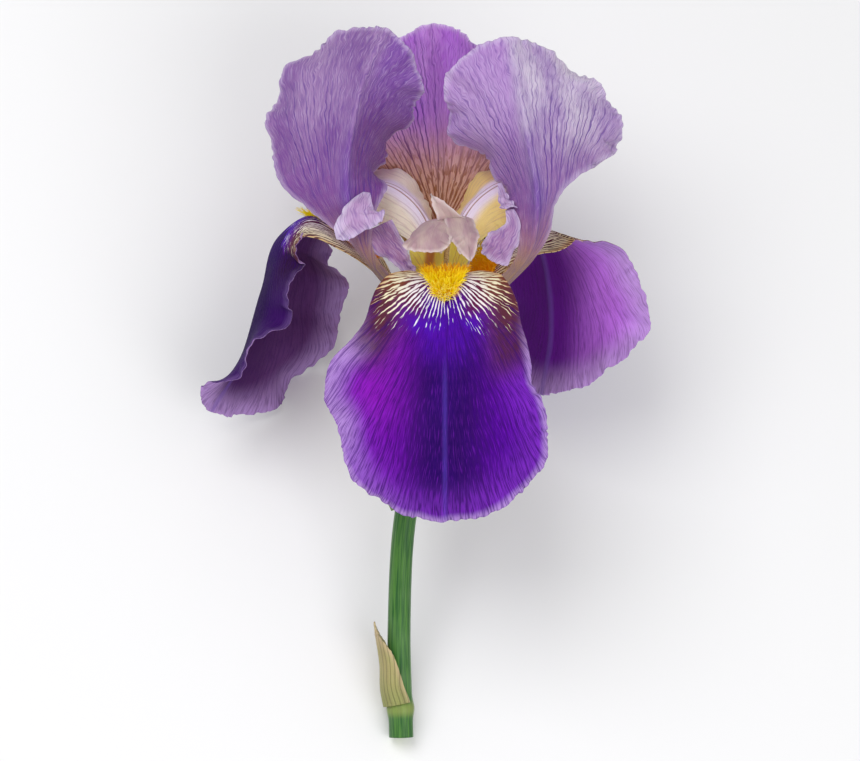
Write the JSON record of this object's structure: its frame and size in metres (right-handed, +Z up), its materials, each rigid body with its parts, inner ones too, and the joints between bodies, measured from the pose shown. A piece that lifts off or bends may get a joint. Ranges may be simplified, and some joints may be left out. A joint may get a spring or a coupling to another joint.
{
  "type": "bearded iris flower",
  "caption": "Cut bearded iris bloom with upright standards, draped falls, beards and style arms on a short bent stem, lying on its back.",
  "frame": {"origin": "centre of the lying flower's box on the surface that it lies on", "axes": "+Z up off the surface; +Y along the surface from the cut stem end towards the standards, the flower's own axis seen from above; +X to the right of a viewer who faces the front fall from above"},
  "size_m": [0.1252, 0.194, 0.083],
  "materials": {
    "stem_green": "smooth fresh green stem with a faint bloom",
    "ovary_green": "smooth fresh green",
    "tube_green": "smooth yellow-green, veined brown at the rim",
    "fall_violet": "velvety deep violet, cream and veined brown at the haft, paler margin",
    "beard_gold": "dense soft hairs, orange at the back and yellow in front",
    "standard_lilac": "thin silky petal, lilac with violet veins",
    "style_cream": "waxy cream flushed with pink and yellow",
    "stamen_cream": "matt cream",
    "spathe_green": "green sheathing leaf with a papery brown tip",
    "bract_papery": "dry papery beige-green"
  },
  "bodies": {
    "root": {"stem": "stem_green", "ovary": "ovary_green", "perianth_tube": "tube_green", "fall_front": "fall_violet", "fall_right": "fall_violet", "fall_left": "fall_violet", "beard_front": "beard_gold", "beard_right": "beard_gold", "beard_left": "beard_gold", "standard_left": "standard_lilac", "standard_right": "standard_lilac", "standard_back": "standard_lilac", "style_arm_front": "style_cream", "style_arm_right": "style_cream", "style_arm_left": "style_cream", "stamen_front": "stamen_cream", "stamen_right": "stamen_cream", "stamen_left": "stamen_cream", "spathe_outer": "spathe_green", "spathe_inner": "spathe_green", "stem_bract": "bract_papery"}
  },
  "joints": []
}
